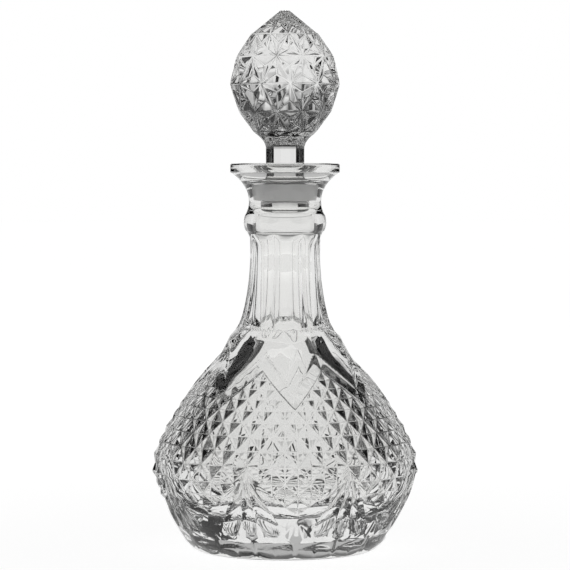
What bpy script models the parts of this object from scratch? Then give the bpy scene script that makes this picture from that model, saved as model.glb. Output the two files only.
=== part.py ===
"""Cut-glass wine decanter: a pressed bottle with a diamond lattice, fans and a fluted neck,
a solid star-cut stopper, and the soft sleeve that seals the stopper in the mouth.

Metres, +Z up, origin at the middle of the base. One lattice panel faces -Y.
The bottle repeats eight times round its axis, the stopper twelve times.
"""
from math import cos, pi, radians, sin, sqrt

import bmesh
import bpy
from mathutils.geometry import delaunay_2d_cdt

MM = 0.001

# ---- fits ----
SEAT_GAP = 0.3 * MM             # between the sleeve and the ground seat in the mouth
PLUG_GAP = 0.3 * MM             # between the sleeve and the glass plug inside it

# ---- bottle: outline of the body, measured on the crests of the cut pattern ----
BASE_RADIUS = 49.3 * MM
BASE_ROUND = 1.0 * MM           # blunted edge round the base
BELLY_RADIUS = 72.0 * MM
BELLY_HEIGHT = 42.5 * MM
SHOULDER_RADIUS = 29.9 * MM     # ledge on which the flutes of the neck end
SHOULDER_RISE = 71.7 * MM       # from the belly to that ledge
# share of the height, share of the swell from the narrow end to the belly
HEEL_CURVE = ((0.0, 0.0), (0.101, 0.178), (0.264, 0.375), (0.47, 0.590), (0.73, 0.823), (1.0, 1.0))
SHOULDER_CURVE = ((0.0, 1.0), (0.11, 0.982), (0.225, 0.91), (0.43, 0.716), (0.65, 0.452),
                  (0.853, 0.165), (1.0, 0.0))

# ---- bottle: neck, measured on the ridges between its flutes ----
NECK_LENGTH = 55.4 * MM         # from the shoulder ledge to the ring
NECK_RADIUS = 19.5 * MM         # at the waist, where the neck is thinnest
NECK_WAIST_DROP = 12.6 * MM     # from the ring down to the waist
NECK_TOP_RADIUS = 19.8 * MM
FLUTE_END_RADIUS = 28.2 * MM    # ridge radius where a ridge runs out on the shoulder
FLUTE_END_RISE = 3.1 * MM       # how much higher a ridge ends than the flute beside it
FLUTE_END_SLOPE = 1.2 * MM      # height of the slope that closes a flute's lower end
FLUTE_CURVE = ((0.0, 1.0), (0.11, 0.70), (0.217, 0.52), (0.43, 0.291), (0.696, 0.108), (1.0, 0.0))
FLUTE_DEPTH = 1.75 * MM         # how far a flute lies behind its ridges, at the waist
FLUTE_FADE = 4.0 * MM           # height over which the flutes die out under the ring
FLUTE_POWER = 3.6               # how even a flute's middle is, and how steep its sides

# ---- bottle: ring, throat and lip, from the neck upwards ----
RING_RADIUS = 22.2 * MM
RING_RISE = 6.3 * MM            # from the neck to the ring's widest line
RING_STEP_RADIUS = 20.4 * MM
RING_STEP_RISE = 6.1 * MM       # from the widest line to the ring's upper edge
THROAT_RADIUS = 19.45 * MM
THROAT_RISE = 4.1 * MM
FLARE_RISE = 16.2 * MM
FLARE_POWER = 2.4               # how late the throat spreads into the lip
LIP_RADIUS = 29.5 * MM
LIP_EDGE_STEP = 0.9 * MM        # blunted lower corner of the lip's upright edge
LIP_EDGE_RISE = 5.1 * MM
RIM_ROUND = 1.1 * MM
LIP_WALL = 2.7 * MM

# ---- bottle: inside, from the rim downwards ----
SEAT_DROP = 9.2 * MM            # from the rim to the top of the ground seat
SEAT_DEPTH = 10.8 * MM
SEAT_RADIUS = 18.7 * MM         # at its top
SEAT_TAPER = 1.6 * MM           # how much narrower the seat is at its foot
BORE_STEP = 0.6 * MM            # how much wider the bore is behind the ring than the seat's foot
NECK_BORE_RADIUS = 13.6 * MM
BODY_WALL = 14.0 * MM           # from the crests inwards, at the belly
SHOULDER_WALL = 15.0 * MM
FLOOR_HEIGHT = 24.0 * MM
FLOOR_CORNER = 19.0 * MM        # height of the rounded corner between floor and wall
FLOOR_CORNER_WIDTH = 24.0 * MM

# ---- bottle: cut pattern ----
PANELS = 8                      # lattice panels, fans and flutes round the bottle
COLUMNS = 8                     # half diamonds across one panel
DIAMOND_DEPTH = 2.3 * MM        # from the points of the diamonds to the grooves, at the belly
ROWS_ABOVE = 9                  # lattice rows above the widest one
UPPER_STEP = 0.1205             # row spacing along the wall, as a share of the radius there
LOWER_STEPS = (0.105, 0.085, 0.078)
BAND_BEVEL = 1.3 * MM           # slopes on both sides of the plain band over the lattice
BAND_HEIGHT = 7.6 * MM          # from the lattice to the upper edge of the band
KITE_DROP = 0.9 * MM            # how far the shoulder panel lies behind the band
KITE_FLAT = 0.02                # how much flatter than round a shoulder panel is
FAN_HUB_DROP = 2.6 * MM         # from the lattice corner down to the point where a fan's rays meet
FAN_FOOT = 2.2 * MM             # from the arches over the base up to the foot of the fans
PETAL_DEPTH = 1.5 * MM
PETAL_STATIONS = (0.16, 0.34, 0.52, 0.70, 0.85, 0.95)
RIB_ANGLE = 0.22                # angles are shares of half a panel, from its middle
SIDE_PETAL_ANGLE = 0.50
SIDE_PETAL_WIDTH = 0.27
MIDDLE_PETAL_WIDTH = 0.20
BOWL_DROP = 6.0 * MM            # from the lattice's V tip down to the bottom of the bowl under it
BOWL_ANGLE = 0.52               # where the bowl's rim meets the ribs
BOWL_DEPTH = 1.4 * MM
ARCH_GAP = 6.9 * MM             # between the two rows of arches over the base
ARCH_RISE = 2.2 * MM
ARCH_DEPTH = 0.7 * MM
FOOT_ARCH_HEIGHT = 4.3 * MM
FOOT_ARCH_RISE = 1.5 * MM
REST_RING_WIDTH = 7.5 * MM      # flat ring that the bottle stands on
STAR_DEPTH = 1.8 * MM
STAR_CUT = 0.9 * MM

# ---- stopper: plug and stem, set out from the seat and the rim ----
PLUG_STAND = 0.8 * MM           # how far the plug stands up out of the seat
PLUG_SHOULDER = 2.2 * MM        # height of the slope from the stem out to the plug
STEM_RADIUS = 10.6 * MM
STEM_FOOT = 5.5 * MM            # from the top of the plug to the upright part of the stem
STEM_LENGTH = 10.5 * MM
SLEEVE_TOP_WALL = 1.8 * MM
SLEEVE_BOTTOM_WALL = 1.5 * MM
SLEEVE_LIP = 1.0 * MM           # inward lip that hooks under the plug
SLEEVE_LIP_WIDTH = 1.9 * MM     # how far that lip reaches in from the sleeve's wall
NOSE_LENGTH = 7.8 * MM          # below the foot of the seat
NOSE_CHAMFER = 1.2 * MM

# ---- stopper: head, rings of points from the bottom up, each a rise above the last ----
HEAD_SIDES = 12
HEAD_RISES = (8.7 * MM, 11.4 * MM, 14.7 * MM, 14.8 * MM, 12.1 * MM)
HEAD_RADII = (16.8 * MM, 25.6 * MM, 30.2 * MM, 27.0 * MM, 18.7 * MM)
TIP_RISE = 12.8 * MM
TIP_RADIUS = 2.4 * MM
TIP_CROWN = 0.3 * MM
STAR_SINK = 0.17                # depth of a cell's sunken middle, as a share of its shortest edge

# ---- worked out from the sizes above ----
SHOULDER_HEIGHT = BELLY_HEIGHT + SHOULDER_RISE
NECK_TOP_HEIGHT = SHOULDER_HEIGHT + NECK_LENGTH
NECK_WAIST_HEIGHT = NECK_TOP_HEIGHT - NECK_WAIST_DROP
RING_HEIGHT = NECK_TOP_HEIGHT + RING_RISE
RING_STEP_HEIGHT = RING_HEIGHT + RING_STEP_RISE
THROAT_HEIGHT = RING_STEP_HEIGHT + THROAT_RISE
LIP_EDGE_HEIGHT = THROAT_HEIGHT + FLARE_RISE
RIM_HEIGHT = LIP_EDGE_HEIGHT + LIP_EDGE_RISE
SEAT_TOP_HEIGHT = RIM_HEIGHT - SEAT_DROP
SEAT_BOTTOM_HEIGHT = SEAT_TOP_HEIGHT - SEAT_DEPTH
SEAT_FOOT_RADIUS = SEAT_RADIUS - SEAT_TAPER
RING_BORE_RADIUS = SEAT_FOOT_RADIUS + BORE_STEP
ARCH_HEIGHT = FOOT_ARCH_HEIGHT + ARCH_GAP
FAN_FOOT_HEIGHT = ARCH_HEIGHT + FAN_FOOT
PLUG_TOP_HEIGHT = SEAT_TOP_HEIGHT + PLUG_STAND
STEM_FOOT_HEIGHT = PLUG_TOP_HEIGHT + STEM_FOOT
STEM_TOP_HEIGHT = STEM_FOOT_HEIGHT + STEM_LENGTH
NOSE_BOTTOM_HEIGHT = SEAT_BOTTOM_HEIGHT - NOSE_LENGTH
SEGMENTS = PANELS * COLUMNS     # points round every turned part of the bottle
STEP_ANGLE = 360.0 / SEGMENTS
PANEL_ANGLE = 360.0 / PANELS


def remove_all_objects():
    for item in list(bpy.data.objects):
        bpy.data.objects.remove(item, do_unlink=True)


def mix(a, b, t):
    return a + (b - a) * t


def smooth_curve(x, points):
    """Height of a smooth curve through the points (x, y), with x rising."""
    x = min(max(x, points[0][0]), points[-1][0])
    last = len(points) - 1
    i = 0
    while i < last - 1 and x > points[i + 1][0]:
        i += 1

    def slope(k):
        before = points[max(k - 1, 0)]
        after = points[min(k + 1, last)]
        return (after[1] - before[1]) / (after[0] - before[0])

    width = points[i + 1][0] - points[i][0]
    t = (x - points[i][0]) / width
    near = (2 * t**3 - 3 * t**2 + 1) * points[i][1] + (t**3 - 2 * t**2 + t) * width * slope(i)
    far = (3 * t**2 - 2 * t**3) * points[i + 1][1] + (t**3 - t**2) * width * slope(i + 1)
    return near + far


def place(radius, angle, height):
    """Point at an angle in degrees, counted from -Y towards +X."""
    turn = radians(angle)
    return (radius * sin(turn), -radius * cos(turn), height)


# ---- the bottle's outline ----

def crest(height):
    """Outer radius of the body on its crests, from the base to the shoulder ledge."""
    if height <= BELLY_HEIGHT:
        return mix(BASE_RADIUS, BELLY_RADIUS, smooth_curve(height / BELLY_HEIGHT, HEEL_CURVE))
    share = (height - BELLY_HEIGHT) / (SHOULDER_HEIGHT - BELLY_HEIGHT)
    return mix(SHOULDER_RADIUS, BELLY_RADIUS, smooth_curve(share, SHOULDER_CURVE))


def ridge_end():
    return SHOULDER_HEIGHT + FLUTE_END_RISE


def ridge(height):
    """Outer radius of the neck on the ridges between its flutes."""
    if height >= NECK_WAIST_HEIGHT:
        share = (height - NECK_WAIST_HEIGHT) / (NECK_TOP_HEIGHT - NECK_WAIST_HEIGHT)
        return mix(NECK_RADIUS, NECK_TOP_RADIUS, share)
    share = (height - ridge_end()) / (NECK_WAIST_HEIGHT - ridge_end())
    return mix(NECK_RADIUS, FLUTE_END_RADIUS, smooth_curve(share, FLUTE_CURVE))


def slope_of(outline, height):
    reach = BELLY_HEIGHT / 100
    return (outline(height + reach) - outline(height - reach)) / (2 * reach)


def inner_radius(height):
    """Radius of the hollow: the outline less the wall, measured square to the wall."""
    if height <= SHOULDER_HEIGHT:
        share = min(max((height - BELLY_HEIGHT) / (SHOULDER_HEIGHT - BELLY_HEIGHT), 0.0), 1.0)
        wall = mix(BODY_WALL, SHOULDER_WALL, share)
        radius = crest(height) - wall * sqrt(1 + slope_of(crest, height) ** 2)
        return max(radius, NECK_BORE_RADIUS)
    share = (height - SHOULDER_HEIGHT) / (NECK_WAIST_HEIGHT - SHOULDER_HEIGHT)
    start = inner_radius(SHOULDER_HEIGHT)
    return mix(start, NECK_BORE_RADIUS, min(1 - (1 - share) ** 2.6, 1.0))


# ---- the bottle's cut pattern: one panel, drawn flat as angle and height ----

class PanelSketch:
    """Points and crease lines of one panel, from fan to fan, with a radius at each point."""

    def __init__(self):
        self.points = {}
        self.lines = []

    def point(self, angle, height, radius):
        key = (round(angle, 4), round(height / MM, 4))
        self.points.setdefault(key, radius)
        return key

    def line(self, stops):
        """A crease through the points given as (angle, height, depth behind the crests)."""
        keys = [self.point(angle, height, crest(height) - depth) for angle, height, depth in stops]
        self.crease(keys)

    def crease(self, keys):
        self.lines += list(zip(keys, keys[1:]))

    def both_sides(self, stops):
        self.line(stops)
        self.line([(-angle, height, depth) for angle, height, depth in stops])

    def triangles(self):
        keys = sorted(self.points)
        index = {key: i for i, key in enumerate(keys)}
        width = radians(1) * BELLY_RADIUS / MM
        flat = [(angle * width, height) for angle, height in keys]
        edges = [(index[a], index[b]) for a, b in self.lines if a != b]
        found = delaunay_2d_cdt(flat, edges, [], 0, 1e-5)
        places = []
        for here, origins in zip(found[0], found[3]):
            if origins:
                angle, height = keys[origins[0]]
                radius = self.points[keys[origins[0]]]
            else:
                # two creases cross here
                angle, height = here[0] / width, here[1]
                radius = crest(height * MM)
            places.append((angle, height * MM, radius))
        return places, found[2]


def lattice_rows():
    """Heights of the lattice rows from the V tip up, stepped along the wall from the belly."""
    def next_row(height, share, way):
        run = share * crest(height)
        rise = slope_of(crest, height + way * run / 2)
        return height + way * run / sqrt(1 + rise**2)

    rows = [BELLY_HEIGHT]
    for share in LOWER_STEPS:
        rows.insert(0, next_row(rows[0], share, -1))
    for _ in range(ROWS_ABOVE):
        rows.append(next_row(rows[-1], UPPER_STEP, 1))
    return rows


def diamond_depth(height):
    return DIAMOND_DEPTH * crest(height) / BELLY_RADIUS


def lattice_span(row, rows):
    """First and last column, counted from the panel's middle, that a lattice row reaches."""
    half = COLUMNS // 2
    fan_row = len(LOWER_STEPS) + 1
    notch_row = len(rows) - 1 - half
    outer = min(row, half) if row < fan_row else half
    inner = max(row - notch_row, 0)
    return inner, outer


def draw_lattice(sketch, rows):
    """Diamonds whose grooves run along both diagonals, with a raised point in each."""
    half = COLUMNS // 2
    for row, height in enumerate(rows):
        inner, outer = lattice_span(row, rows)
        deep = diamond_depth(height)
        for column in range(inner, outer + 1):
            groove = (row + column) % 2 == half % 2
            for side in (-1, 1):
                sketch.point(side * column * STEP_ANGLE, height, crest(height) - (deep if groove else 0))
    for row in range(len(rows) - 1):
        inner, outer = lattice_span(row, rows)
        inner_up, outer_up = lattice_span(row + 1, rows)
        for column in range(inner, outer + 1):
            if (row + column) % 2 != half % 2:
                continue
            for step in (-1, 1):
                if not inner_up <= column + step <= outer_up:
                    continue
                sketch.both_sides([(column * STEP_ANGLE, rows[row], diamond_depth(rows[row])),
                                   ((column + step) * STEP_ANGLE, rows[row + 1], diamond_depth(rows[row + 1]))])


def v_edge(rows):
    """The lattice's lower edge on one side, from the fan's point down to the V tip."""
    half = COLUMNS // 2
    return [(column * STEP_ANGLE, rows[column], diamond_depth(rows[column])) for column in range(half, -1, -1)]


def draw_fan(sketch, rows):
    """Half a fan on each side of the panel, and the bowl between them under the V edge."""
    half_angle = PANEL_ANGLE / 2
    edge = v_edge(rows)
    sketch.both_sides(edge)
    hub = edge[0][1] - FAN_HUB_DROP

    def rib(share):
        """Angle and height on the rib that runs from the hub to its foot."""
        return mix(half_angle, RIB_ANGLE * half_angle, share), mix(hub, FAN_FOOT_HEIGHT, share)

    meet = (1 - BOWL_ANGLE) / (1 - RIB_ANGLE)
    upper_rib = [(*rib(meet * share), 0.0) for share in (0.0, 0.25, 0.5, 0.75, 1.0)]
    lower_rib = [(*rib(mix(meet, 1.0, share)), 0.0) for share in (0.0, 0.33, 0.67, 1.0)]
    sketch.both_sides(upper_rib)
    sketch.both_sides(lower_rib)

    bowl_top = upper_rib[-1][1]
    bowl_bottom = edge[-1][1] - BOWL_DROP
    rim = []
    hollow = []
    for share in (1.0, 0.8, 0.6, 0.4, 0.2, 0.0):
        angle = share * BOWL_ANGLE * half_angle
        height = mix(bowl_bottom, bowl_top, 1 - sqrt(1 - share**2))
        above = mix(edge[-1][1], edge[0][1], (angle / half_angle) ** 1.1)
        rim.append((angle, height, 0.0))
        hollow.append((angle, mix(height, above, 0.45), BOWL_DEPTH))
    sketch.both_sides(rim)
    sketch.both_sides(hollow)

    draw_petal(sketch, hub, SIDE_PETAL_ANGLE, SIDE_PETAL_WIDTH, (-1.0, -0.5, 0.0, 0.5, 1.0))
    draw_petal(sketch, hub, 1.0, MIDDLE_PETAL_WIDTH, (-1.0, -0.5, 0.0))


def draw_petal(sketch, hub, centre, width, across):
    """A hollow that widens from the hub and closes in a round end at the foot of the fan."""
    half_angle = PANEL_ANGLE / 2
    round_from = PETAL_STATIONS[-3]
    lines = [[] for _ in across]
    for share in PETAL_STATIONS + (1.0,):
        height = mix(hub, FAN_FOOT_HEIGHT, share)
        closing = max(share - round_from, 0.0) / (1 - round_from)
        spread = width * share * sqrt(1 - closing**2)
        for line, offset in zip(lines, across):
            angle = (mix(1.0, centre, share) + offset * spread) * half_angle
            depth = PETAL_DEPTH * (1 - offset**2) * min(2.5 * share, 1.0) * sqrt(1 - closing**2)
            line.append((angle, height, depth))
    for line in lines:
        sketch.both_sides(line)


def arch(angle, cusp, rise):
    """Height of the arches that meet at the panel's middle and at the fans."""
    share = abs(angle) / (PANEL_ANGLE / 2)
    return cusp + rise * sin(pi * share)


def draw_base(sketch):
    """Sixteen arched facets round the base, with a smaller arch under each."""
    angles = [column * STEP_ANGLE for column in range(COLUMNS // 2 + 1)]
    sketch.both_sides([(angle, arch(angle, ARCH_HEIGHT, ARCH_RISE), 0.0) for angle in angles])
    sketch.both_sides([(angle, arch(angle, FOOT_ARCH_HEIGHT, FOOT_ARCH_RISE), 0.0) for angle in angles])
    sketch.both_sides([(angle, BASE_ROUND, 0.0) for angle in angles])
    sketch.both_sides([(angle, 0.0, BASE_ROUND) for angle in angles])
    for angle in (0.0, PANEL_ANGLE / 2):
        sketch.both_sides([(angle, ARCH_HEIGHT, 0.0), (angle, FOOT_ARCH_HEIGHT, 0.0),
                           (angle, BASE_ROUND, 0.0), (angle, 0.0, BASE_ROUND)])
    middle = (ARCH_HEIGHT + FOOT_ARCH_HEIGHT + ARCH_RISE) / 2
    for angle in angles[1:-1]:
        depth = ARCH_DEPTH * sin(pi * angle / (PANEL_ANGLE / 2))
        for side in (-1, 1):
            sketch.point(side * angle, middle, crest(middle) - depth)


def flatten(angle):
    """Share of the radius that a plain shoulder panel loses away from its edges."""
    return KITE_FLAT * cos(pi * angle / PANEL_ANGLE)


def flute_end(angle):
    return SHOULDER_HEIGHT + FLUTE_END_RISE * (abs(angle) / (PANEL_ANGLE / 2)) ** 2


def draw_kite(sketch, rows):
    """The plain band over the lattice, and the shoulder panel between it and the end of the flute."""
    half = COLUMNS // 2
    notch_row = len(rows) - 1 - half
    levels = 4
    band_foot = []
    band_head = []
    edge = []
    ledge = []
    for column in range(-half, half + 1):
        angle = column * STEP_ANGLE
        notch = rows[notch_row + abs(column)]
        for crease, above in ((band_foot, BAND_BEVEL), (band_head, BAND_HEIGHT)):
            crease.append(sketch.point(angle, notch + above, crest(notch + above)))
        low = notch + BAND_HEIGHT + BAND_BEVEL
        edge.append(sketch.point(angle, low, crest(low) - KITE_DROP))
        for level in range(1, levels):
            share = level / levels
            height = mix(low, SHOULDER_HEIGHT, share)
            sunk = KITE_DROP * (1 - share) + crest(height) * flatten(angle) * sin(pi * share)
            sketch.point(angle, height, crest(height) - sunk)
        radius = mix(SHOULDER_RADIUS, FLUTE_END_RADIUS, (abs(column) / half) ** 2)
        ledge.append(sketch.point(angle, flute_end(angle), radius))
    for crease in (band_foot, band_head, edge, ledge):
        sketch.crease(crease)


def flute_radius(angle, height):
    """Neck radius: ridges at the panel's edges and a shallow hollow, even in the middle, between them."""
    hollow = 1 - abs(2 * angle / PANEL_ANGLE) ** FLUTE_POWER
    fade = min((NECK_TOP_HEIGHT - height) / FLUTE_FADE, 1.0)
    depth = FLUTE_DEPTH * ridge(height) / NECK_RADIUS
    return ridge(height) - depth * hollow * max(fade, 0.0)


def draw_flute(sketch):
    """Flutes of the neck, from the shoulder ledge up to the ring."""
    half = COLUMNS // 2
    levels = 7
    foot = ridge_end() + FLUTE_END_SLOPE
    for column in range(-half, half + 1):
        angle = column * STEP_ANGLE
        for level in range(levels + 1):
            share = level / levels
            height = mix(foot, NECK_TOP_HEIGHT, share ** 1.15)
            sketch.point(angle, height, flute_radius(angle, height))


def add_pattern(bm):
    """The bottle's outside from the base to the top of the flutes, panel by panel."""
    rows = lattice_rows()
    sketch = PanelSketch()
    draw_lattice(sketch, rows)
    draw_fan(sketch, rows)
    draw_base(sketch)
    draw_kite(sketch, rows)
    draw_flute(sketch)
    places, faces = sketch.triangles()
    for panel in range(PANELS):
        verts = [bm.verts.new(place(radius, angle + panel * PANEL_ANGLE, height))
                 for angle, height, radius in places]
        for face in faces:
            bm.faces.new([verts[i] for i in face])


# ---- turned parts ----

def add_ring(bm, radius, height, count, turn=0.0):
    return [bm.verts.new(place(radius, turn + 360.0 * i / count, height)) for i in range(count)]


def bridge(bm, lower, upper):
    """Faces between two rings of points, facing away from the axis when upper is above."""
    count = len(lower)
    for i in range(count):
        j = (i + 1) % count
        bm.faces.new([lower[i], lower[j], upper[j], upper[i]])


def turn_profile(bm, profile, count):
    """Rings through (radius, height) pairs, joined in order; returns first and last ring."""
    rings = [add_ring(bm, radius, height, count) for radius, height in profile]
    for lower, upper in zip(rings, rings[1:]):
        bridge(bm, lower, upper)
    return rings[0], rings[-1]


def cap(bm, ring, height, up):
    """Close a ring with a fan of triangles round a point on the axis."""
    middle = bm.verts.new((0.0, 0.0, height))
    for i in range(len(ring)):
        j = (i + 1) % len(ring)
        corners = [ring[i], ring[j], middle] if up else [ring[j], ring[i], middle]
        bm.faces.new(corners)


def arc(centre_radius, centre_height, radius, height, start, end, steps):
    """Points on an ellipse in the turned profile, by angle in degrees from outwards to up."""
    points = []
    for i in range(steps + 1):
        turn = radians(mix(start, end, i / steps))
        points.append((centre_radius + radius * cos(turn), centre_height + height * sin(turn)))
    return points


def mouth_profile():
    """Outside of ring, throat and lip, over the rim and down inside to the floor's middle."""
    half_ring = RING_HEIGHT - NECK_TOP_HEIGHT
    bulge = RING_RADIUS - NECK_TOP_RADIUS
    outer = arc(NECK_TOP_RADIUS, RING_HEIGHT, bulge, half_ring * 0.85, -90, 65, 6)
    outer[0] = (NECK_TOP_RADIUS, NECK_TOP_HEIGHT)
    outer.append((RING_STEP_RADIUS, RING_STEP_HEIGHT))
    flare = LIP_RADIUS - LIP_EDGE_STEP - THROAT_RADIUS
    rise = LIP_EDGE_HEIGHT - THROAT_HEIGHT
    for share in (0.0, 0.28, 0.5, 0.68, 0.84):
        outer.append((THROAT_RADIUS + flare * share**FLARE_POWER, THROAT_HEIGHT + rise * share))
    outer += [(LIP_RADIUS - LIP_EDGE_STEP, LIP_EDGE_HEIGHT), (LIP_RADIUS, LIP_EDGE_HEIGHT + LIP_EDGE_STEP)]
    outer += arc(LIP_RADIUS - RIM_ROUND, RIM_HEIGHT - RIM_ROUND, RIM_ROUND, RIM_ROUND, 0, 90, 2)
    funnel_top = LIP_RADIUS - LIP_WALL
    inner = arc(funnel_top, RIM_HEIGHT - RIM_ROUND, RIM_ROUND, RIM_ROUND, 90, 180, 2)
    mouth = inner[-1][0]
    drop = SEAT_DROP - RIM_ROUND
    for share in (0.25, 0.5, 0.75):
        inner.append((mix(mouth, SEAT_RADIUS, share), SEAT_TOP_HEIGHT + drop * (1 - share) ** 1.5))
    inner += [(SEAT_RADIUS, SEAT_TOP_HEIGHT), (SEAT_FOOT_RADIUS, SEAT_BOTTOM_HEIGHT)]
    inner += [(RING_BORE_RADIUS, RING_STEP_HEIGHT), (RING_BORE_RADIUS, RING_HEIGHT)]
    for share in (0.3, 0.6, 1.0):
        height = mix(RING_HEIGHT, NECK_WAIST_HEIGHT, share)
        inner.append((mix(RING_BORE_RADIUS, NECK_BORE_RADIUS, 0.5 - 0.5 * cos(pi * share)), height))
    corner_top = FLOOR_HEIGHT + FLOOR_CORNER
    levels = 11
    for level in range(1, levels + 1):
        height = mix(NECK_WAIST_HEIGHT, corner_top, level / levels)
        inner.append((inner_radius(height), height))
    wall = inner_radius(corner_top)
    inner += arc(wall - FLOOR_CORNER_WIDTH, corner_top, FLOOR_CORNER_WIDTH, FLOOR_CORNER, 0, -90, 3)[1:]
    inner.append((wall / 3, FLOOR_HEIGHT))
    return outer, inner


def make_bottle():
    bm = bmesh.new()
    add_pattern(bm)
    outer, inner = mouth_profile()
    _, floor_ring = turn_profile(bm, outer + inner, SEGMENTS)
    cap(bm, floor_ring, FLOOR_HEIGHT, True)
    add_underside(bm)
    return finish_mesh(bm, "bottle", "clear_glass", 22)


def add_underside(bm):
    """Flat resting ring and a shallow hollow with a star cut in it."""
    rest = BASE_RADIUS - REST_RING_WIDTH
    points = []
    for i in range(SEGMENTS):
        lift = STAR_CUT if i % 4 == 2 else 0.0
        points.append(bm.verts.new(place(rest * 0.6, i * STEP_ANGLE, STAR_DEPTH + lift)))
    step, _ = turn_profile(bm, [(rest - STAR_DEPTH, STAR_DEPTH), (rest, 0.0),
                                (BASE_RADIUS - BASE_ROUND, 0.0)], SEGMENTS)
    bridge(bm, points, step)
    cap(bm, points, STAR_DEPTH + STAR_CUT, False)


# ---- stopper ----

def add_star_cell(bm, corners):
    """A cell of the head: its corners joined to a middle that is sunk into the glass."""
    places = [corner.co for corner in corners]
    middle = sum(places[1:], places[0].copy()) / len(places)
    normal = (places[1] - places[0]).cross(places[2] - places[0]).normalized()
    shortest = min((places[i] - places[i - 1]).length for i in range(len(places)) if
                   (places[i] - places[i - 1]).length > TIP_RADIUS)
    sunk = bm.verts.new(middle - normal * shortest * STAR_SINK)
    for i in range(len(corners)):
        bm.faces.new([corners[i - 1], corners[i], sunk])


def add_head(bm):
    """Rings of points from the bottom up, each ring turned half a step from the last."""
    half_turn = 180.0 / HEAD_SIDES
    height = STEM_TOP_HEIGHT
    rings = []
    for level, (rise, radius) in enumerate(zip(HEAD_RISES, HEAD_RADII)):
        height += rise
        rings.append(add_ring(bm, radius, height, HEAD_SIDES, half_turn * (level % 2)))
    for level, (lower, upper) in enumerate(zip(rings, rings[1:])):
        for i in range(HEAD_SIDES):
            j = (i + 1) % HEAD_SIDES
            if level % 2:
                add_star_cell(bm, [lower[i], upper[j], upper[i]])
                add_star_cell(bm, [lower[i], lower[j], upper[j]])
            else:
                add_star_cell(bm, [lower[i], lower[j], upper[i]])
                add_star_cell(bm, [lower[j], upper[j], upper[i]])
    tip = add_ring(bm, TIP_RADIUS, height + TIP_RISE, HEAD_SIDES)
    for i in range(HEAD_SIDES):
        j = (i + 1) % HEAD_SIDES
        add_star_cell(bm, [rings[-1][i], rings[-1][j], tip[j], tip[i]])
    cap(bm, tip, height + TIP_RISE + TIP_CROWN, True)
    return rings[0]


def sleeve_radii(height):
    """Outer and inner radius of the sleeve, from the seat it fills."""
    share = (height - SEAT_BOTTOM_HEIGHT) / (SEAT_TOP_HEIGHT - SEAT_BOTTOM_HEIGHT)
    outer = mix(SEAT_FOOT_RADIUS, SEAT_RADIUS, share) - SEAT_GAP
    return outer, outer - mix(SLEEVE_BOTTOM_WALL, SLEEVE_TOP_WALL, share)


def sleeve_bottom():
    return SEAT_BOTTOM_HEIGHT + SEAT_GAP


def lip_radius():
    """Inner edge of the sleeve's lip."""
    return sleeve_radii(sleeve_bottom())[1] - SLEEVE_LIP_WIDTH


def make_stopper():
    bm = bmesh.new()
    head_foot = add_head(bm)
    neck = mix(STEM_RADIUS, HEAD_RADII[0], 0.28)
    cove = add_ring(bm, neck, STEM_TOP_HEIGHT + HEAD_RISES[0] * 0.42, HEAD_SIDES)
    stem_top = add_ring(bm, STEM_RADIUS, STEM_TOP_HEIGHT, HEAD_SIDES)
    stem_foot = add_ring(bm, STEM_RADIUS, STEM_FOOT_HEIGHT, HEAD_SIDES)
    bridge(bm, cove, head_foot)
    bridge(bm, stem_top, cove)
    bridge(bm, stem_foot, stem_top)
    plug_top = sleeve_radii(PLUG_TOP_HEIGHT - PLUG_SHOULDER)[1] - PLUG_GAP
    step = sleeve_bottom() + SLEEVE_LIP + PLUG_GAP
    plug_foot = sleeve_radii(step)[1] - PLUG_GAP
    nose = lip_radius() - PLUG_GAP
    profile = [(nose - NOSE_CHAMFER, NOSE_BOTTOM_HEIGHT), (nose, NOSE_BOTTOM_HEIGHT + NOSE_CHAMFER),
               (nose, step), (plug_foot, step), (plug_top, PLUG_TOP_HEIGHT - PLUG_SHOULDER),
               (mix(STEM_RADIUS, plug_top, 0.75), PLUG_TOP_HEIGHT)]
    bottom, top = turn_profile(bm, profile, HEAD_SIDES * 4)
    cap(bm, bottom, NOSE_BOTTOM_HEIGHT, False)
    join_coarse(bm, top, stem_foot)
    return finish_mesh(bm, "stopper", "clear_glass", 12)


def join_coarse(bm, lower, upper):
    """Faces between a fine ring and a coarse ring above it, whose points line up."""
    ratio = len(lower) // len(upper)
    for i in range(len(upper)):
        j = (i + 1) % len(upper)
        middle = i * ratio + ratio // 2
        for k in range(i * ratio, (i + 1) * ratio):
            near = upper[i] if k < middle else upper[j]
            bm.faces.new([lower[k], lower[(k + 1) % len(lower)], near])
        bm.faces.new([lower[middle], upper[j], upper[i]])


def make_sleeve():
    bottom = sleeve_bottom()
    top = SEAT_TOP_HEIGHT - SEAT_GAP
    hook = bottom + SLEEVE_LIP
    opening = lip_radius()
    profile = [(opening, bottom), (sleeve_radii(bottom)[0], bottom), (sleeve_radii(top)[0], top),
               (sleeve_radii(top)[1], top), (sleeve_radii(hook)[1], hook), (opening, hook)]
    bm = bmesh.new()
    rings = [add_ring(bm, radius, height, SEGMENTS) for radius, height in profile]
    for lower, upper in zip(rings, rings[1:] + rings[:1]):
        bridge(bm, lower, upper)
    return finish_mesh(bm, "stopper_sleeve", "frosted_plastic", 25)


# ---- materials and finishing ----

def glass_material():
    material = bpy.data.materials.get("clear_glass") or bpy.data.materials.new("clear_glass")
    material.use_nodes = True
    shader = material.node_tree.nodes["Principled BSDF"]
    shader.inputs["Base Color"].default_value = (0.93, 0.945, 0.94, 1.0)
    shader.inputs["Roughness"].default_value = 0.02
    shader.inputs["Metallic"].default_value = 0.0
    shader.inputs["Transmission Weight"].default_value = 1.0
    shader.inputs["IOR"].default_value = 1.52
    return material


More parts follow.
